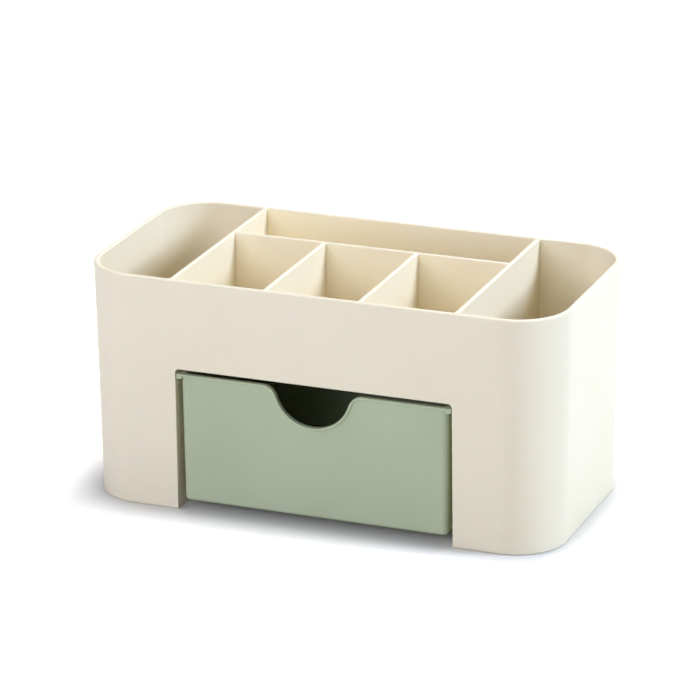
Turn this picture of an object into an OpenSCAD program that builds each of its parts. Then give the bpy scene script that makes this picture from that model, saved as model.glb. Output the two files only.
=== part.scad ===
// Brush holder with drawer: an injection-moulded desk tidy in two mouldings.
// The body has a tall pocket at each end, a long pocket and a row of small ones between them,
// and under those a bay, open to the front and to the table, in which the drawer hangs on two rails.
//
// Frame: +Z up, -Y is the front, origin at the centre of the base, on the table. Millimetres.

/* [Body] */
// Width over the rim
body_w = 220; // [190:1:300]
// Depth over the rim
body_d = 111; // [90:1:160]
// Height of the rim above the table
body_h = 107; // [98:1:150]
// Outer corner radius at the rim
corner_r = 24.4; // [12:0.1:32]
// How far every outer side leans in, from the rim down to the table
body_lean = 1.6; // [0.5:0.1:4]
// Thickness of the outer walls
wall = 2.4; // [1.8:0.1:4]
// Rounding of both edges of the rim
rim_r = 0.8; // [0.3:0.1:0.8]
// Rounding of the outer edge at the table
base_r = 0.8; // [0.3:0.1:1.5]

/* [Pockets] */
// Thickness of the dividers at their tops
divider_t = 2; // [1.4:0.1:3]
// How much each face of a divider spreads, from its top down to its foot
divider_draft = 0.5; // [0.2:0.1:1]
// How much the end pockets' side of a tall divider spreads, from the rim down to the table
tall_draft = 1; // [0.3:0.1:2]
// Rounding of both edges of a divider's top
divider_r = 0.6; // [0.2:0.1:0.6]
// Clear depth of the long pocket at the back, at the rim
rear_pocket_d = 35.7; // [20:0.1:50]
// Number of small pockets in front of it
front_pockets = 3; // [1:1:6]
// Thickness of the floors
floor_t = 2.2; // [1.5:0.1:4]

/* [Drawer opening] */
// Width of the opening, at its top
opening_w = 128; // [90:1:136]
// Height of the opening above the table
opening_h = 66; // [45:0.1:75]
// Rounding of the opening's two top corners, which runs on through the bay
opening_r = 1.8; // [0.5:0.1:2]
// How much each side of the bay spreads, from its ceiling down to the table
bay_draft = 0.3; // [0.1:0.1:1]

/* [Rails] */
// Thickness of a rail at its inner edge
rail_t = 1.4; // [1:0.1:3]
// How much further down a rail's root reaches on the bay's wall
rail_web = 1.4; // [0.5:0.1:4]
// Distance from the body's front face to the front end of the rails
rail_set_back = 10; // [5:0.5:30]
// Length of the sloped lead-in at the front end of a rail
lead_in = 4; // [1:0.5:8]
// Clearance between a rail and the flange that slides on it
rail_gap = 0.3; // [0.2:0.05:0.6]
// Clearance between a rail's inner edge and the tray's side
rail_side_gap = 0.5; // [0.3:0.1:0.8]

/* [Drawer] */
// Gap between the drawer's rim and the top of the opening
top_gap = 2.2; // [1:0.1:5]
// Gap between the drawer's underside and the table
under_gap = 4.6; // [2:0.1:12]
// Gap between the tray's side and the side of the opening, at the drawer's rim
side_gap = 2; // [1.8:0.1:6]
// Gap between the back of the drawer and the body's back wall
back_gap = 1.6; // [0.8:0.1:10]
// How far the drawer's front lies behind the body's front face, at the drawer's rim
set_back = 0.8; // [0.6:0.1:5]
// How far every side of the tray leans in, from its rim down to its underside
tray_lean = 0.6; // [0.2:0.1:1.2]
// Thickness of the tray's walls
tray_wall = 1.8; // [1.4:0.1:2.4]
// Thickness of the tray's floor
tray_floor = 1.8; // [1.5:0.1:3]
// Outer radius of the tray's upright corners, at the rim
tray_r = 3; // [3:0.1:12]
// Rounding round the tray's underside
tray_base_r = 1.5; // [0.5:0.1:1.6]
// Rounding of both edges of the tray's rim
tray_rim_r = 0.5; // [0.2:0.1:0.6]
// Thickness of the two side flanges
flange_t = 2.2; // [1.5:0.1:3]
// Clearance between the edge of a flange and the side of the bay
flange_gap = 0.4; // [0.3:0.1:1]
// Corner radius of the flanges, seen from above
flange_r = 1; // [0.5:0.1:1.5]
// Height of the lip along the top of the drawer's front
lip_h = 1.2; // [0.8:0.1:2]
// How far the lip stands out from the drawer's front
lip_proud = 0.6; // [0.3:0.1:0.9]

/* [Finger notch] */
// Radius of the notch
notch_r = 17.6; // [10:0.1:22]
// Depth of the notch below the drawer's rim
notch_depth = 17.1; // [12:0.1:24]
// Radius of the shoulders where the notch runs out into the rim
shoulder_r = 6.8; // [3:0.1:8]

/* [Hidden] */
$fn = 96;

// Spare length that lets one shape run clear of another
over = 1;
// How far a rounding's circle reaches past the face that it runs into, so that the two cross
nick = 0.005;

// Body, worked out from the sizes above
floor_z = opening_h;                           // ceiling of the bay, which carries the middle floor
floor_top = floor_z + floor_t;
bay_x = opening_w / 2;                         // side of the bay at its ceiling
tall_x = bay_x + divider_draft;                // inner face of a tall divider at the rim
long_y = body_d / 2 - wall - rear_pocket_d;    // back face of the long divider at the rim
pocket_pitch = (2 * tall_x + divider_t) / front_pockets;

// Drawer, worked out from the body
rim_z = opening_h - top_gap;                   // top of the drawer's rim
tray_z = under_gap;                            // underside of the tray
tray_x = bay_x - side_gap;                     // side of the tray at its rim
front_y = snapped(set_back - body_side(body_d, rim_z));
back_y = snapped(body_side(body_d, rim_z) - wall - back_gap);
mid_y = (front_y + back_y) / 2;
flange_x = snapped(bay_side(rim_z) - flange_gap);
flange_z = rim_z - flange_t;                   // underside of the flanges

// Rails, worked out from the drawer that hangs on them
rail_z = flange_z - rail_gap;                  // top of the rails
rail_x = tray_x + rail_side_gap;               // inner edge of a rail
rail_front_y = snapped(rail_set_back - body_side(body_d, rail_z));
rail_back_y = snapped(body_side(body_d, rail_z) - wall / 2);
rail_root_x = bay_x + divider_t / 2;           // a rail's root, inside the bay's wall

// A length rounded to a hundredth of a millimetre
function snapped(x) = round(x * 100) / 100;

// Distance from the middle to an outer side of the body at height z; w is that side's full width
function body_side(w, z) = w / 2 - body_lean * (1 - z / body_h);

// Distance from the middle to the side of the bay at height z
function bay_side(z) = bay_x + bay_draft * (1 - z / floor_z);

// Sweeps a profile once round a rounded rectangle. The profile's x axis points outwards, and
// starts at the centres of the corners.
module around(w, d, r) {
    for (turn = [0:3]) {
        endways = turn % 2 == 0;
        side = (endways ? w : d) / 2 - r;
        run = (endways ? d : w) - 2 * r;
        rotate([0, 0, 90 * turn]) {
            translate([side, run / 2, 0])
                rotate_extrude(angle = 90)
                    children();
            translate([side, 0, 0])
                rotate([90, 0, 0])
                    linear_extrude(height = run, center = true)
                        children();
        }
    }
}

// A block with rounded corners. w, d and r belong to its top, and every side leans in by lean
// from there to its foot.
module leaning_block(w, d, r, lean, foot, top) {
    for (turn = [0:1]) {
        side = (turn == 0 ? w : d) / 2;
        run = (turn == 0 ? d : w) - 2 * r;
        rotate([90, 0, 90 * turn])
            linear_extrude(height = run, center = true)
                polygon([[-side + lean, foot], [side - lean, foot], [side, top], [-side, top]]);
    }
    for (sx = [-1, 1], sy = [-1, 1])
        translate([sx * (w / 2 - r), sy * (d / 2 - r), foot])
            cylinder(h = top - foot, r1 = r - lean, r2 = r);
}

// The body's outer form, drawn in by inset on every side
module body_block(inset) {
    leaning_block(body_w - 2 * inset, body_d - 2 * inset, corner_r - inset, body_lean, 0, body_h);
}

// Everything below a top edge that is rounded at both ends. x0 and x1 are the faces that the two
// roundings run into, at the height where they start.
module under_rounded_edge(x0, x1, top, r) {
    inset = r - nick;
    translate([x0 - top, -top])
        square([x1 - x0 + 2 * top, 2 * top - inset]);
    for (x = [x0 + inset, x1 - inset])
        translate([x, top - inset])
            circle(r);
    translate([x0 + inset, top - inset - over])
        square([x1 - x0 - 2 * inset, inset + 2 * over]);
}

// A slab with two leaning faces and a rounded top. x0 and x1 are the faces at the top, and they
// spread by draft0 and draft1 down to the foot.
module slab_profile(x0, x1, draft0, draft1, foot, top, r) {
    share = r / (top - foot);
    intersection() {
        polygon([[x0 - draft0, foot], [x1 + draft1, foot], [x1, top], [x0, top]]);
        under_rounded_edge(x0 - draft0 * share, x1 + draft1 * share, top, r);
    }
}

// Profile of an outer wall that leans in towards its foot, with a rounded rim and a rounded foot
module wall_profile(r, t, lean, foot, top, edge_r, foot_r) {
    inset = foot_r - nick;
    centre_x = r - lean * (1 - foot_r / (top - foot)) - inset;
    difference() {
        slab_profile(r - t, r, lean, -lean, foot, top, edge_r);
        difference() {
            translate([centre_x, foot - over])
                square([foot_r + over, inset + over]);
            translate([centre_x, foot + inset])
                circle(foot_r);
        }
    }
}

// Extrudes a profile drawn in x and z along the y axis, from y0 back to y1
module along_y(y0, y1) {
    translate([0, y1, 0])
        rotate([90, 0, 0])
            linear_extrude(height = y1 - y0)
                children();
}

// A tall divider on the right, which goes on down as the side of the bay. The bay is cut out of
// its thick lower part.
module tall_divider() {
    outer_x = tall_x + divider_t;
    edge_x0 = tall_x - divider_draft * divider_r / (body_h - floor_top);
    edge_x1 = outer_x + tall_draft * divider_r / body_h;
    along_y(-body_d / 2, body_d / 2)
        intersection() {
            polygon([[bay_x - over, 0], [outer_x + tall_draft, 0], [outer_x, body_h], [tall_x, body_h],
                     [bay_x, floor_top], [bay_x - over, floor_top]]);
            under_rounded_edge(edge_x0, edge_x1, body_h, divider_r);
        }
}

// The long divider, and the small ones between it and the front wall
module low_dividers() {
    reach = tall_x + divider_t / 2;
    rotate([90, 0, 90])
        linear_extrude(height = 2 * reach, center = true)
            slab_profile(long_y - divider_t, long_y, divider_draft, divider_draft,
                         floor_z, body_h, divider_r);
    if (front_pockets > 1)
        for (i = [1:front_pockets - 1])
            translate([snapped(i * pocket_pitch - reach), 0, 0])
                along_y(-body_d / 2, long_y - divider_t / 2)
                    slab_profile(-divider_t / 2, divider_t / 2, divider_draft, divider_draft,
                                 floor_z, body_h, divider_r);
}

// The floors of the two end pockets, and the higher one between the tall dividers, which is still
// thick enough here for the bay's rounded top corners
module floors() {
    reach = tall_x + divider_t / 2;
    spare = opening_r + over;
    for (side = [-1, 1])
        translate([side * (reach + body_w / 2) / 2, 0, floor_t / 2])
            cube([body_w / 2 - reach, body_d, floor_t], center = true);
    translate([-reach, -body_d / 2, floor_z - spare])
        cube([2 * reach, body_d, floor_t + spare]);
}

// The room for the drawer: through the front wall, back to the back wall, and open to the table
module bay() {
    edge_x = bay_side(floor_z - opening_r);
    intersection() {
        along_y(-body_d, body_d)
            intersection() {
                polygon([[-bay_x - bay_draft, 0], [bay_x + bay_draft, 0], [bay_x, floor_z], [-bay_x, floor_z]]);
                under_rounded_edge(-edge_x, edge_x, floor_z, opening_r);
            }
        union() {
            body_block(wall);
            translate([-body_w / 2, -body_d, 0])
                cube([body_w, body_d, body_h]);
        }
    }
}

// A rail on the right side of the bay, with a lead-in for the drawer's flange
module rail() {
    edge_z = rail_z - rail_t;
    root_z = edge_z - rail_web;
    drop = rail_t / 2;
    difference() {
        along_y(rail_front_y, rail_back_y)
            polygon([[rail_x, rail_z], [rail_x, edge_z], [rail_root_x, root_z], [rail_root_x, rail_z]]);
        translate([rail_x - over, rail_front_y, rail_z - drop])
            rotate([atan2(drop, lead_in), 0, 0])
                translate([0, -lead_in, 0])
                    cube([rail_root_x - rail_x + 2 * over, 3 * lead_in, rail_t]);
    }
}

module body() {
    color([0.89, 0.86, 0.79]) {
        difference() {
            union() {
                around(body_w, body_d, corner_r)
                    wall_profile(corner_r, wall, body_lean, 0, body_h, rim_r, base_r);
                intersection() {
                    union() {
                        tall_divider();
                        mirror([1, 0, 0])
                            tall_divider();
                        low_dividers();
                        floors();
                    }
                    body_block(wall / 2);
                }
            }
            bay();
        }
        rail();
        mirror([1, 0, 0])
            rail();
    }
}

// The finger notch seen from the front, with margin added all round
module notch_profile(margin) {
    centre_z = rim_z - notch_depth + notch_r;
    shoulder_z = rim_z - shoulder_r;
    shoulder_x = sqrt(pow(notch_r + shoulder_r, 2) - pow(centre_z - shoulder_z, 2));
    translate([0, centre_z])
        circle(notch_r + margin + nick);
    difference() {
        polygon([[0, centre_z], [shoulder_x, shoulder_z], [shoulder_x, rim_z + over],
                 [-shoulder_x, rim_z + over], [-shoulder_x, shoulder_z]]);
        for (side = [-1, 1])
            translate([side * shoulder_x, shoulder_z])
                circle(shoulder_r - margin + nick);
    }
}

// The lip along the top of the drawer's front and round the notch
module lip_profile() {
    intersection() {
        translate([-flange_x, tray_z])
            square([2 * flange_x, rim_z - tray_z]);
        union() {
            translate([-flange_x, rim_z - lip_h])
                square([2 * flange_x, lip_h + over]);
            notch_profile(lip_h);
        }
    }
}

// Plate with rounded corners, standing on z = 0
module rounded_plate(w, d, r, h) {
    translate([-w / 2, -d / 2 + r, 0])
        cube([w, d - 2 * r, h]);
    translate([-w / 2 + r, -d / 2, 0])
        cube([w - 2 * r, d, h]);
    for (sx = [-1, 1], sy = [-1, 1])
        translate([sx * (w / 2 - r), sy * (d / 2 - r), 0])
            cylinder(h = h, r = r);
}

// The flange on the right side of the tray. Its front end is flush with the lip.
module flange() {
    inner_x = tray_x - tray_wall / 2;
    lip_y = front_y - lip_proud;
    translate([(inner_x + flange_x) / 2, (lip_y + back_y) / 2, flange_z])
        rounded_plate(flange_x - inner_x, back_y - lip_y, flange_r, flange_t);
}

// The tray's floor, which reaches halfway into its walls
module tray_bottom() {
    inset = tray_wall / 2;
    intersection() {
        leaning_block(2 * (tray_x - inset), back_y - front_y - 2 * inset, tray_r - inset,
                      tray_lean, tray_z, rim_z);
        translate([-tray_x, front_y - mid_y, tray_z - over])
            cube([2 * tray_x, back_y - front_y, tray_floor + over]);
    }
}

module drawer() {
    color([0.66, 0.71, 0.62])
        difference() {
            union() {
                translate([0, mid_y, 0]) {
                    around(2 * tray_x, back_y - front_y, tray_r)
                        wall_profile(tray_r, tray_wall, tray_lean, tray_z, rim_z,
                                     tray_rim_r, tray_base_r);
                    tray_bottom();
                }
                flange();
                mirror([1, 0, 0])
                    flange();
                along_y(front_y - lip_proud, front_y + tray_wall / 2)
                    lip_profile();
            }
            along_y(front_y - lip_proud - over, front_y + tray_wall + over)
                notch_profile(0);
        }
}

body();
drawer();
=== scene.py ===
"""Brush holder with drawer: its visible surfaces, materials, light and camera, made in metres round
the fixed solid model."""
import math

import bmesh
import bpy
from mathutils import Matrix, Vector

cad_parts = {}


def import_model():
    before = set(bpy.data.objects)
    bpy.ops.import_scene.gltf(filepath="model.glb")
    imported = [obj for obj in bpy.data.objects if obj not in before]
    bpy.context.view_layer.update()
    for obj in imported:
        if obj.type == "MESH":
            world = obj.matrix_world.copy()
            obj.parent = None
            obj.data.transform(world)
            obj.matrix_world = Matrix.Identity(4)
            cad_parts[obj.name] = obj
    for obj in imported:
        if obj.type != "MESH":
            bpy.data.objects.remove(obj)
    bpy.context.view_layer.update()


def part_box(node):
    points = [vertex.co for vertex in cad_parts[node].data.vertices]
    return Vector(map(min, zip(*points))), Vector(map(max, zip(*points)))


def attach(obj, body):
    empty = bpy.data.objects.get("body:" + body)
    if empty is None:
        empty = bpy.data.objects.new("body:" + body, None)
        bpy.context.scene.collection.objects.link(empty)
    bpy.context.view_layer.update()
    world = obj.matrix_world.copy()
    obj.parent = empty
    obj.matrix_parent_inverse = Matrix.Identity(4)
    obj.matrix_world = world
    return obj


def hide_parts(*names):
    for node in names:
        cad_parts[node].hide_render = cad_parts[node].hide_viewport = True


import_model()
MM = 0.001

# Camera, found from the edges of the object in the photograph: angles in degrees, and the focal
# length and the picture's shift in pixels
AZIMUTH = 21.34
ELEVATION = 20.23
ROLL = -0.41
DISTANCE = 1.745
AIM = Vector((0, 0, 0.05))
CLIP_END = 20
SENSOR = 36
IMAGE_PX = 700
FOCAL_PX = 3937.5
SHIFT_PX = Vector((-7.8, 30.3))

# The two plastics: the colour and its deeper tone as they are written in a picture, 0 to 255, the
# roughness, and the share of the light that travels under the skin
CREAM = {"colour": (248, 237, 207), "deep": (246, 234, 202), "roughness": 0.40, "glow": 0.15}
SAGE = {"colour": (187, 196, 161), "deep": (182, 191, 155), "roughness": 0.38, "glow": 0.08}

# What both plastics share. Of a noise's values, only those in the range change the look.
MOTTLE_SIZE = 34 * MM
MOTTLE_DETAIL = 3
MOTTLE_RANGE = (0.3, 0.7)
SMEAR_SIZE = 22 * MM
SMEAR_DETAIL = 4
SMEAR_RANGE = (0.25, 0.75)
SMEAR_ROUGHNESS = 0.04
WAVE_SIZE = 16 * MM
WAVE_HEIGHT = 0.03 * MM
GRAIN_SIZE = 0.35 * MM
GRAIN_HEIGHT = 0.004 * MM
GRAIN_STRENGTH = 0.6
RELIEF_DETAIL = 1
PLASTIC_IOR = 1.49
SPECULAR_LEVEL = 0.3
GLOW_SPREAD = (1.0, 0.62, 0.32)
GLOW_DEPTH = 1.6 * MM

# Table and background
WHITE = (1, 1, 1, 1)
FLOOR_SIZE = 10
FLOOR_BOUNCE = (0.50, 0.495, 0.47, 1)  # colour with which the table lights the object
FLOOR_SEEN = (0.76, 0.74, 0.68, 1)     # colour that the camera sees, before the lift to white
FLOOR_LIFT = 0.51                      # how much of that lift there is right beside the object; less lift there paints a shadow round it
PAINTED_SHADOW_REACH = 70 * MM                 # how far from the object the painted shadow fades out and the lift becomes full
PAINTED_CONTACT_SHADE_REACH = 24 * MM                # how near the object a spot of the table has to be to get painted contact shade
PAINTED_CONTACT_SHADE_RANGE = (0.55, 0.92)           # openness where that painted contact shade is full, and where it ends
PAINTED_CONTACT_SHADE_SAMPLES = 16

# Body, as in the solid model
HALF_W, HALF_D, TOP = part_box("body")[1]
WALL = 2.4 * MM
BODY_LEAN = 1.6 * MM
CORNER_R = 24.4 * MM
RIM_R = 0.8 * MM
FOOT_R = 0.8 * MM
FLOOR = 2.2 * MM
DIVIDER = 2.0 * MM
DIVIDER_DRAFT = 0.5 * MM
TALL_DRAFT = 1.0 * MM
REAR_POCKET = 35.7 * MM
FRONT_POCKETS = 3
OPENING_W = 128 * MM
OPENING_H = 66 * MM
OPENING_R = 1.8 * MM
BAY_DRAFT = 0.3 * MM

# Drawer, as in the solid model
TRAY_LOW, TRAY_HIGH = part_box("drawer")
TRAY_RIM = TRAY_HIGH.z
FLANGE_X = TRAY_HIGH.x
FLANGE_REACH = 1.61 * MM
FLANGE_T = 2.2 * MM
FLANGE_R = 1.0 * MM
LIP_H = 1.2 * MM
LIP_PROUD = 0.6 * MM
TRAY_X = FLANGE_X - FLANGE_REACH
TRAY_FRONT = TRAY_LOW.y + LIP_PROUD
TRAY_WALL = 1.8 * MM
TRAY_FLOOR = 1.8 * MM
TRAY_LEAN = 0.6 * MM
TRAY_R = 3.0 * MM
TRAY_FOOT_R = 1.5 * MM
TRAY_RIM_R = 0.5 * MM
NOTCH_R = 17.6 * MM
NOTCH_DEPTH = 17.1 * MM
SHOULDER_R = 6.8 * MM

# Rails under the drawer's flanges, as in the solid model
RAIL_T = 1.4 * MM
RAIL_WEB = 1.4 * MM
RAIL_GAP = 0.3 * MM
RAIL_SIDE_GAP = 0.5 * MM
RAIL_SET_BACK = 10 * MM
LEAD_IN = 4 * MM

# Small roundings. The solid model has slightly different ones at the pockets' rims and on the back of
# the drawer's rim, and leaves the others sharp.
POCKET_R = 0.6 * MM
POCKET_FOOT_R = 1.4 * MM
POCKET_RIM_R = 0.65 * MM
BAY_CORNER_R = 1.6 * MM
ARCH_R = 0.4 * MM
TRAY_INNER_R = 1.0 * MM
EDGE_R = 0.3 * MM

# Fineness of the meshes
CORNER_STEPS = 20
TRAY_STEPS = 10
SMALL_STEPS = 6
ROUND_STEPS = 5
SHOULDER_STEPS = 10
SCOOP_STEPS = 36
BEVEL_STEPS = 3

# How the meshes are cut and shaded
LEAST_R = 0.2 * MM               # least radius of a corner
OVER = 1 * MM                    # spare length of a cutter
WELD = 0.002 * MM                # points nearer than this become one
FLAT_ANGLE = math.radians(0.02)  # faces that bend less than this become one
SHARP_ANGLE = math.radians(38)   # edges that bend more than this are sharp
BEVEL_PROFILE = 0.5              # 0.5 is round
FORWARDS = 0.9                   # least forward share of a front face's normal


def linear(colour):
    """Scene-linear value of an sRGB colour given as 0 to 255"""
    def channel(c):
        c /= 255
        return c / 12.92 if c <= 0.04045 else ((c + 0.055) / 1.055) ** 2.4
    return (*map(channel, colour), 1)


def bearing(azimuth, elevation):
    """Unit vector that points from the object at these angles, in degrees. Azimuth 0 is the front, and
    90 the object's right side."""
    turn, rise = math.radians(azimuth), math.radians(elevation)
    return Vector((math.sin(turn) * math.cos(rise), -math.cos(turn) * math.cos(rise), math.sin(rise)))


def camera():
    back = bearing(AZIMUTH, ELEVATION)
    level = bearing(AZIMUTH + 90, 0)
    upright = back.cross(level)
    roll = math.radians(ROLL)
    right = level * math.cos(roll) + upright * math.sin(roll)
    up = upright * math.cos(roll) - level * math.sin(roll)
    data = bpy.data.cameras.new("camera")
    data.sensor_width = SENSOR
    data.lens = FOCAL_PX * SENSOR / IMAGE_PX
    data.shift_x = SHIFT_PX.x / IMAGE_PX
    data.shift_y = SHIFT_PX.y / IMAGE_PX
    data.clip_end = CLIP_END
    cam = bpy.data.objects.new("camera", data)
    place = AIM + back * DISTANCE
    cam.matrix_world = Matrix(((right.x, up.x, back.x, place.x),
                               (right.y, up.y, back.y, place.y),
                               (right.z, up.z, back.z, place.z),
                               (0, 0, 0, 1)))
    bpy.context.scene.collection.objects.link(cam)
    bpy.context.scene.camera = cam


class Nodes:
    """Short names for adding and joining the nodes of one tree"""

    def __init__(self, tree):
        self.tree = tree

    def add(self, kind, links=None, **settings):
        node = self.tree.nodes.new(kind)
        for name, value in settings.items():
            setattr(node, name, value)
        for socket, value in (links or {}).items():
            self.feed(node.inputs[socket], value)
        return node

    def feed(self, socket, value):
        if isinstance(value, bpy.types.NodeSocket):
            self.tree.links.new(value, socket)
        else:
            socket.default_value = value

    def math(self, operation, a, b):
        return self.add("ShaderNodeMath", {0: a, 1: b}, operation=operation).outputs[0]

    def vector(self, operation, *values):
        return self.add("ShaderNodeVectorMath", dict(enumerate(values)), operation=operation)

    def remap(self, value, source, target=(0, 1)):
        """The value moved from one range to another, and held at both ends"""
        links = {"Value": value, "From Min": source[0], "From Max": source[1],
                 "To Min": target[0], "To Max": target[1]}
        return self.add("ShaderNodeMapRange", links).outputs["Result"]

    def mix(self, factor, a, b):
        return self.add("ShaderNodeMix", {"Factor": factor, "A": a, "B": b},
                        data_type="RGBA").outputs["Result"]

    def seen(self):
        """1 where the camera looks, straight, by a reflection or through glass, and 0 for the rays
        that light the object"""
        paths = self.add("ShaderNodeLightPath").outputs
        straight_or_mirrored = self.math("MAXIMUM", paths["Is Camera Ray"], paths["Is Glossy Ray"])
        return self.math("MAXIMUM", straight_or_mirrored, paths["Is Transmission Ray"])


def moulded_plastic(name, colour, deep, roughness, glow):
    """Satin polypropylene: a soft mottle in the colour, smears in the gloss, slow waves and a fine
    grain in the faces, and light that travels a little way under the skin."""
    material = bpy.data.materials.new(name)
    material.use_nodes = True
    n = Nodes(material.node_tree)
    shader = material.node_tree.nodes["Principled BSDF"].inputs
    place = n.add("ShaderNodeTexCoord").outputs["Object"]

    def noise(size, detail):
        return n.add("ShaderNodeTexNoise",
                     {"Vector": place, "Scale": 1 / size, "Detail": detail}).outputs["Fac"]

    mottle = n.remap(noise(MOTTLE_SIZE, MOTTLE_DETAIL), MOTTLE_RANGE)
    n.feed(shader["Base Color"], n.mix(mottle, linear(colour), linear(deep)))

    gloss = (roughness - SMEAR_ROUGHNESS, roughness + SMEAR_ROUGHNESS)
    n.feed(shader["Roughness"], n.remap(noise(SMEAR_SIZE, SMEAR_DETAIL), SMEAR_RANGE, gloss))

    waves = n.add("ShaderNodeBump", {"Height": noise(WAVE_SIZE, RELIEF_DETAIL),
                                     "Distance": WAVE_HEIGHT})
    grain = n.add("ShaderNodeBump", {"Height": noise(GRAIN_SIZE, RELIEF_DETAIL),
                                     "Distance": GRAIN_HEIGHT, "Strength": GRAIN_STRENGTH,
                                     "Normal": waves.outputs["Normal"]})
    n.feed(shader["Normal"], grain.outputs["Normal"])

    n.feed(shader["IOR"], PLASTIC_IOR)
    n.feed(shader["Specular IOR Level"], SPECULAR_LEVEL)
    n.feed(shader["Subsurface Weight"], glow)
    n.feed(shader["Subsurface Radius"], GLOW_SPREAD)
    n.feed(shader["Subsurface Scale"], GLOW_DEPTH)
    return material


def world():
    """White behind the object and in reflections, without lighting anything: the lamps do that"""
    sky = bpy.data.worlds.new("studio")
    bpy.context.scene.world = sky
    sky.use_nodes = True
    n = Nodes(sky.node_tree)
    backdrop = sky.node_tree.nodes["Background"].inputs
    n.feed(backdrop["Color"], WHITE)
    n.feed(backdrop["Strength"], n.seen())


def floor():
    """A pale table. To the camera and in reflections it is lifted to white, apart from the object's
    shadow, which is partly real
    and partly painted: the lift is less beside the object and none where the two touch, which paints
    shade over the real shadow."""
    bpy.ops.mesh.primitive_plane_add(size=FLOOR_SIZE, location=(0, 0, 0))
    table = bpy.context.object
    table.name = "floor"
    material = bpy.data.materials.new("floor")
    material.use_nodes = True
    n = Nodes(material.node_tree)
    material.node_tree.nodes.remove(material.node_tree.nodes["Principled BSDF"])
    seen = n.seen()
    paper = n.add("ShaderNodeBsdfDiffuse", {"Color": n.mix(seen, FLOOR_BOUNCE, FLOOR_SEEN)})

    # Painted contact shade: the lift to white is held back where the object closes the table in, darkest
    # where they meet
    openness = n.add("ShaderNodeAmbientOcclusion", {"Distance": PAINTED_CONTACT_SHADE_REACH},
                     samples=PAINTED_CONTACT_SHADE_SAMPLES).outputs["AO"]
    clear = n.remap(openness, PAINTED_CONTACT_SHADE_RANGE)

    # Painted shadow: the lift grows with the distance from the object's outline, so the table stays
    # darker round it
    place = n.add("ShaderNodeTexCoord").outputs["Object"]
    mirrored = n.vector("ABSOLUTE", place).outputs[0]
    beyond = n.vector("SUBTRACT", mirrored, (HALF_W, HALF_D, 0)).outputs[0]
    outside = n.vector("MAXIMUM", beyond, (0, 0, 0)).outputs[0]
    away = n.vector("LENGTH", outside).outputs["Value"]
    level = n.remap(away, (0, PAINTED_SHADOW_REACH), (FLOOR_LIFT, 1))

    # The lift to white with the painted shadow and painted contact shade taken out of it
    lift = n.math("MULTIPLY", seen, n.math("MULTIPLY", clear, level))
    glow = n.add("ShaderNodeEmission", {"Color": WHITE, "Strength": lift})
    both = n.add("ShaderNodeAddShader", {0: paper.outputs[0], 1: glow.outputs[0]})
    n.feed(material.node_tree.nodes["Material Output"].inputs["Surface"], both.outputs[0])
    table.data.materials.append(material)


def softbox(name, azimuth, elevation, distance, size, watts, tint):
    """A square lamp that faces the object, placed by the same angles as the camera"""
    place = AIM + distance * bearing(azimuth, elevation)
    light = bpy.data.lights.new(name, "AREA")
    light.size = size
    light.energy = watts
    light.color = linear(tint)[:3]
    lamp = bpy.data.objects.new(name, light)
    lamp.location = place
    lamp.rotation_euler = (AIM - place).to_track_quat("-Z", "Y").to_euler()
    bpy.context.scene.collection.objects.link(lamp)


def lamps():
    """The main light from the right with a fainter one below it, small ones for the front and the
    left, and two from behind, for the back and for the floors of the pockets"""
    softbox("right", azimuth=102, elevation=29, distance=2.2, size=0.6, watts=43, tint=(211, 227, 255))
    softbox("right_low", azimuth=92, elevation=22, distance=2.2, size=0.6, watts=8, tint=(200, 218, 255))
    softbox("front", azimuth=-4, elevation=19, distance=0.9, size=0.5, watts=4.6, tint=(233, 236, 255))
    softbox("left", azimuth=-54, elevation=40, distance=1.4, size=0.7, watts=5.6, tint=(228, 233, 255))
    softbox("rear", azimuth=180, elevation=25, distance=2.2, size=1.2, watts=15, tint=(246, 244, 255))
    softbox("overhead", azimuth=165, elevation=72, distance=1.6, size=0.5, watts=9, tint=(255, 248, 240))


def ring(sides, radii, z, inset, steps):
    """Points of a rounded rectangle at height z, anticlockwise from its right side. sides are left,
    right, front and back, and radii start at the back right corner."""
    left, right, front, back = sides
    corners = ((right, back, 1, 1), (left, back, -1, 1), (left, front, -1, -1), (right, front, 1, -1))
    points = []
    for turn, ((x, y, sx, sy), radius) in enumerate(zip(corners, radii)):
        bend = max(radius - inset, LEAST_R)
        centre = Vector((x - sx * (inset + bend), y - sy * (inset + bend), z))
        for i in range(steps + 1):
            angle = (turn + i / steps) * math.pi / 2
            points.append(centre + Vector((math.cos(angle), math.sin(angle), 0)) * bend)
    return points


def loft(bm, rings, closed=False):
    """Quads from each ring of points to the next, a face over the first ring and, if closed, one over
    the last. Returns the last ring's vertices."""
    rows = [[bm.verts.new(p) for p in points] for points in rings]
    for low, high in zip(rows, rows[1:]):
        for i in range(len(low)):
            j = (i + 1) % len(low)
            bm.faces.new((low[i], low[j], high[j], high[i]))
    bm.faces.new(rows[0])
    if closed:
        bm.faces.new(rows[-1])
    return rows[-1]


def rounding(radius):
    """Pairs of distances from the two faces that a quarter round joins, from 0 and the radius to the
    radius and 0"""
    angles = (math.pi / 2 * i / ROUND_STEPS for i in range(ROUND_STEPS + 1))
    return [(radius * (1 - math.cos(a)), radius * (1 - math.sin(a))) for a in angles]


def shell(bm, sides, radius, lean, bottom, top, foot_r, rim_r, steps):
    """The outer skin of a box that leans in towards its foot. Returns its top ring."""
    foot = [(bottom + up, inset) for up, inset in rounding(foot_r)]
    rim = [(top - down, inset) for inset, down in rounding(rim_r)]
    rings = [ring(sides, (radius,) * 4, z, lean(z) + inset, steps) for z, inset in foot + rim]
    return loft(bm, rings)


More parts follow.
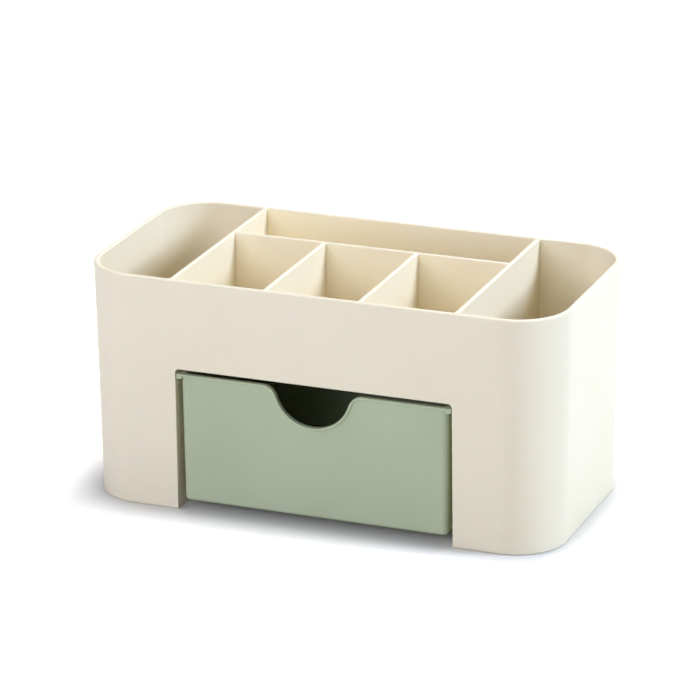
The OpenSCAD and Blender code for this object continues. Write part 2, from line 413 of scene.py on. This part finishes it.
def pocket(bm, sides_at, radii_at, bottom, top, foot_r, rim_r, steps):
    """The skin of a pocket: a flat floor, a rounding, drafted sides and a rounded rim. sides_at and
    radii_at give the pocket's outline at a height. Returns its top ring."""
    foot = [(bottom + up, inset) for up, inset in rounding(foot_r)]
    rim = [(top - down, -spread) for spread, down in rounding(rim_r)]
    rings = [ring(sides_at(z), radii_at(z), z, inset, steps) for z, inset in foot + rim]
    return loft(bm, rings)


def cover(bm, loops):
    """A flat face between an outer loop of vertices and the loops inside it"""
    edges = [bm.edges.get(pair) for loop in loops for pair in zip(loop, loop[1:] + loop[:1])]
    bmesh.ops.triangle_fill(bm, use_beauty=True, edges=edges, normal=(0, 0, 1))


def piece_from(bm, name):
    bmesh.ops.recalc_face_normals(bm, faces=bm.faces)
    mesh = bpy.data.meshes.new(name)
    bm.to_mesh(mesh)
    bm.free()
    piece = bpy.data.objects.new(name, mesh)
    bpy.context.scene.collection.objects.link(piece)
    return piece


def combine(piece, tool, operation):
    """Adds a closed tool to the piece, or cuts it out, and throws the tool away"""
    modifier = piece.modifiers.new("combine", "BOOLEAN")
    modifier.object = tool
    modifier.operation = operation
    modifier.solver = "EXACT"
    bpy.context.view_layer.update()
    made = bpy.data.meshes.new_from_object(piece.evaluated_get(bpy.context.evaluated_depsgraph_get()))
    piece.modifiers.clear()
    piece.data = made
    bpy.data.objects.remove(tool)


def finish(piece, picked=None, width=0.0):
    """Welds the seams that the cuts leave, rounds the edges that a test picks, and shades the piece
    so that its flats stay flat"""
    bm = bmesh.new()
    bm.from_mesh(piece.data)
    bmesh.ops.remove_doubles(bm, verts=bm.verts, dist=WELD)
    bmesh.ops.dissolve_limit(bm, angle_limit=FLAT_ANGLE, verts=bm.verts, edges=bm.edges)
    loose = [edge for edge in bm.edges if not edge.link_faces]
    bmesh.ops.delete(bm, geom=loose, context="EDGES")
    if picked:
        bmesh.ops.bevel(bm, geom=[edge for edge in bm.edges if picked(edge)], offset=width,
                        offset_type="OFFSET", segments=BEVEL_STEPS, profile=BEVEL_PROFILE,
                        affect="EDGES", clamp_overlap=False)
    bmesh.ops.remove_doubles(bm, verts=bm.verts, dist=WELD)
    bmesh.ops.recalc_face_normals(bm, faces=bm.faces)
    for face in bm.faces:
        face.smooth = True
    bm.to_mesh(piece.data)
    bm.free()
    piece.data.set_sharp_from_angle(angle=SHARP_ANGLE)
    weighted = piece.modifiers.new("flats", "WEIGHTED_NORMAL")
    weighted.keep_sharp = True


def body_lean(z):
    """How far the body's walls have come in at height z"""
    return BODY_LEAN * (1 - z / TOP)


def small_draft(z):
    """How far the faces of the dividers over the bay have spread at height z"""
    return DIVIDER_DRAFT * (TOP - z) / (TOP - OPENING_H)


def end_pocket(bm, side):
    """A deep pocket at one end, which follows the body's corners. side is 1 or -1."""
    inner = OPENING_W / 2 + DIVIDER_DRAFT + DIVIDER

    def sides(z):
        near, far = inner + TALL_DRAFT * (1 - z / TOP), HALF_W - WALL - body_lean(z)
        left, right = sorted((side * near, side * far))
        back = HALF_D - WALL - body_lean(z)
        return left, right, -back, back

    def radii(z):
        bend = CORNER_R - WALL - body_lean(z)
        return (bend, POCKET_R, POCKET_R, bend) if side > 0 else (POCKET_R, bend, bend, POCKET_R)

    return pocket(bm, sides, radii, FLOOR, TOP, POCKET_FOOT_R, POCKET_RIM_R, CORNER_STEPS)


def middle_pocket(bm, sides):
    def radii(z):
        return (POCKET_R,) * 4

    return pocket(bm, sides, radii, OPENING_H + FLOOR, TOP, POCKET_FOOT_R, POCKET_RIM_R, SMALL_STEPS)


def middle_pockets(bm):
    """The long pocket at the back and the row in front of it, over the drawer's bay"""
    middle_x = OPENING_W / 2 + DIVIDER_DRAFT
    long_y = HALF_D - WALL - REAR_POCKET
    pitch = (2 * middle_x + DIVIDER) / FRONT_POCKETS

    def rear(z):
        x = middle_x - small_draft(z)
        return -x, x, long_y + small_draft(z), HALF_D - WALL - body_lean(z)

    loops = [middle_pocket(bm, rear)]
    for i in range(FRONT_POCKETS):
        def front(z, left=-middle_x + i * pitch):
            return (left + small_draft(z), left + pitch - DIVIDER - small_draft(z),
                    -(HALF_D - WALL - body_lean(z)), long_y - DIVIDER - small_draft(z))
        loops.append(middle_pocket(bm, front))
    return loops


def bay():
    """The space for the drawer, with spare length through the front wall and under the table"""
    def sides(z):
        x = OPENING_W / 2 + BAY_DRAFT * (1 - z / OPENING_H)
        return -x, x, -2 * HALF_D, HALF_D - WALL - body_lean(z)

    levels = [(-OVER, 0)] + [(OPENING_H - down, inset) for inset, down in rounding(OPENING_R)]
    rings = [ring(sides(z), (BAY_CORNER_R,) * 4, z, inset, SMALL_STEPS) for z, inset in levels]
    bm = bmesh.new()
    loft(bm, rings, closed=True)
    return piece_from(bm, "bay")


def rail(side):
    """A rail with a sloped lead-in, sunk into the bay's side wall and back wall"""
    top = TRAY_RIM - FLANGE_T - RAIL_GAP
    under = top - RAIL_T
    inner, root = side * (TRAY_X + RAIL_SIDE_GAP), side * (OPENING_W / 2 + WALL / 2)
    front = -HALF_D + body_lean(top) + RAIL_SET_BACK
    back = HALF_D - body_lean(top) - WALL / 2
    rings = []
    for y, drop in ((front, RAIL_T / 2), (front + LEAD_IN, 0), (back, 0)):
        rings.append([Vector((inner, y, top - drop)), Vector((inner, y, under)),
                      Vector((root, y, under - RAIL_WEB)), Vector((root, y, top - drop))])
    bm = bmesh.new()
    loft(bm, rings, closed=True)
    return piece_from(bm, "rail")


def on_arch(edge):
    """True for the edges where the bay's mouth meets the body's front face"""
    outside = [face.normal.y < -FORWARDS for face in edge.link_faces]
    middle = (edge.verts[0].co + edge.verts[1].co) / 2
    return (any(outside) and not all(outside) and middle.y < -HALF_D + 2 * BODY_LEAN
            and abs(middle.x) < OPENING_W / 2 + OVER and FOOT_R < middle.z < OPENING_H + OVER)


def organiser_body():
    bm = bmesh.new()
    outside = (-HALF_W, HALF_W, -HALF_D, HALF_D)
    skin = shell(bm, outside, CORNER_R, body_lean, 0, TOP, FOOT_R, RIM_R, CORNER_STEPS)
    cover(bm, [skin, end_pocket(bm, -1), end_pocket(bm, 1), *middle_pockets(bm)])
    piece = piece_from(bm, "organiser_body")
    combine(piece, bay(), "DIFFERENCE")
    for side in (-1, 1):
        combine(piece, rail(side), "UNION")
    finish(piece, on_arch, ARCH_R)
    return piece


def tray_lean(z):
    """How far the drawer's walls have come in at height z"""
    return TRAY_LEAN * (TRAY_RIM - z) / (TRAY_RIM - TRAY_LOW.z)


def arc(centre, radius, start, end, steps):
    """Points of an arc in x and z, from one angle to another"""
    angles = (start + (end - start) * i / steps for i in range(steps + 1))
    return [(centre[0] + radius * math.cos(a), centre[1] + radius * math.sin(a)) for a in angles]


def notch_outline(margin):
    """The finger notch in x and z, from left to right: a shoulder, the scoop and the other shoulder.
    The margin goes into the material."""
    scoop = (0, TRAY_RIM - NOTCH_DEPTH + NOTCH_R)
    shoulder_z = TRAY_RIM - SHOULDER_R
    reach = NOTCH_R + SHOULDER_R
    meet = math.asin((scoop[1] - shoulder_z) / reach)
    shoulder_x = reach * math.cos(meet)
    top = math.pi / 2
    return (arc((-shoulder_x, shoulder_z), SHOULDER_R - margin, top, meet, SHOULDER_STEPS)
            + arc(scoop, NOTCH_R + margin, math.pi + meet, 2 * math.pi - meet, SCOOP_STEPS)[1:-1]
            + arc((shoulder_x, shoulder_z), SHOULDER_R - margin, math.pi - meet, top, SHOULDER_STEPS))


def extrude(name, outline_at, stations):
    """A closed solid along y. stations are pairs of a place and an inset, and outline_at gives the
    outline in x and z with that inset."""
    bm = bmesh.new()
    loft(bm, [[Vector((x, y, z)) for x, z in outline_at(inset)] for y, inset in stations], closed=True)
    return piece_from(bm, name)


def flange(side):
    """One of the strips that hang on the rails. side is 1 or -1."""
    left, right = sorted((side * (TRAY_X - TRAY_WALL / 2), side * FLANGE_X))
    sides = (left, right, TRAY_LOW.y, TRAY_HIGH.y)
    radii = (FLANGE_R, EDGE_R, EDGE_R, EDGE_R) if side > 0 else (EDGE_R, FLANGE_R, EDGE_R, EDGE_R)
    levels = [(TRAY_RIM - FLANGE_T + up, inset) for up, inset in rounding(EDGE_R)]
    levels += [(TRAY_RIM - down, inset) for inset, down in rounding(EDGE_R)]
    bm = bmesh.new()
    loft(bm, [ring(sides, radii, z, inset, SMALL_STEPS) for z, inset in levels], closed=True)
    return piece_from(bm, "flange")


def lip():
    """The band along the drawer's front edge and round the notch, filled across the notch"""
    def outline(inset):
        x, top, under = FLANGE_X - inset, TRAY_RIM - inset, TRAY_RIM - LIP_H + inset
        return [(x, under), (x, top), (-x, top), (-x, under)] + notch_outline(LIP_H - inset)

    stations = [(TRAY_LOW.y + depth, inset) for depth, inset in rounding(EDGE_R)]
    stations.append((TRAY_FRONT + TRAY_WALL / 2, 0))
    return extrude("lip", outline, stations)


def notch():
    """A cutter for the notch that flares at both ends, so that the edges it leaves are round"""
    def outline(inset):
        curve = notch_outline(inset)
        return curve + [(curve[-1][0], TRAY_RIM + OVER), (curve[0][0], TRAY_RIM + OVER)]

    inside = TRAY_FRONT + TRAY_WALL + tray_lean(TRAY_RIM - NOTCH_DEPTH / 2)
    stations = [(TRAY_LOW.y - OVER, EDGE_R)]
    stations += [(TRAY_LOW.y + depth, inset) for depth, inset in rounding(EDGE_R)]
    stations += [(inside - depth, inset) for depth, inset in reversed(rounding(EDGE_R))]
    stations.append((inside + OVER, EDGE_R))
    return extrude("notch", outline, stations)


def drawer_tray():
    def inside(z):
        inset = TRAY_WALL + tray_lean(z)
        return -TRAY_X + inset, TRAY_X - inset, TRAY_FRONT + inset, TRAY_HIGH.y - inset

    def radii(z):
        return (TRAY_R - TRAY_WALL,) * 4

    bm = bmesh.new()
    outside = (-TRAY_X, TRAY_X, TRAY_FRONT, TRAY_HIGH.y)
    skin = shell(bm, outside, TRAY_R, tray_lean, TRAY_LOW.z, TRAY_RIM, TRAY_FOOT_R, EDGE_R, TRAY_STEPS)
    hollow = pocket(bm, inside, radii, TRAY_LOW.z + TRAY_FLOOR, TRAY_RIM, TRAY_INNER_R, TRAY_RIM_R,
                    TRAY_STEPS)
    cover(bm, [skin, hollow])
    piece = piece_from(bm, "drawer_tray")
    for side in (-1, 1):
        combine(piece, flange(side), "UNION")
    combine(piece, lip(), "UNION")
    combine(piece, notch(), "DIFFERENCE")
    finish(piece)
    return piece


def dress(piece, node, material):
    """Puts a piece in the place of a solid of the frame"""
    piece.data.materials.clear()
    piece.data.materials.append(material)
    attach(piece, node)
    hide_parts(node)


camera()
dress(organiser_body(), "body", moulded_plastic("cream_plastic_satin", **CREAM))
dress(drawer_tray(), "drawer", moulded_plastic("sage_plastic_satin", **SAGE))
world()
floor()
lamps()

bpy.context.scene.view_settings.view_transform = "Standard"
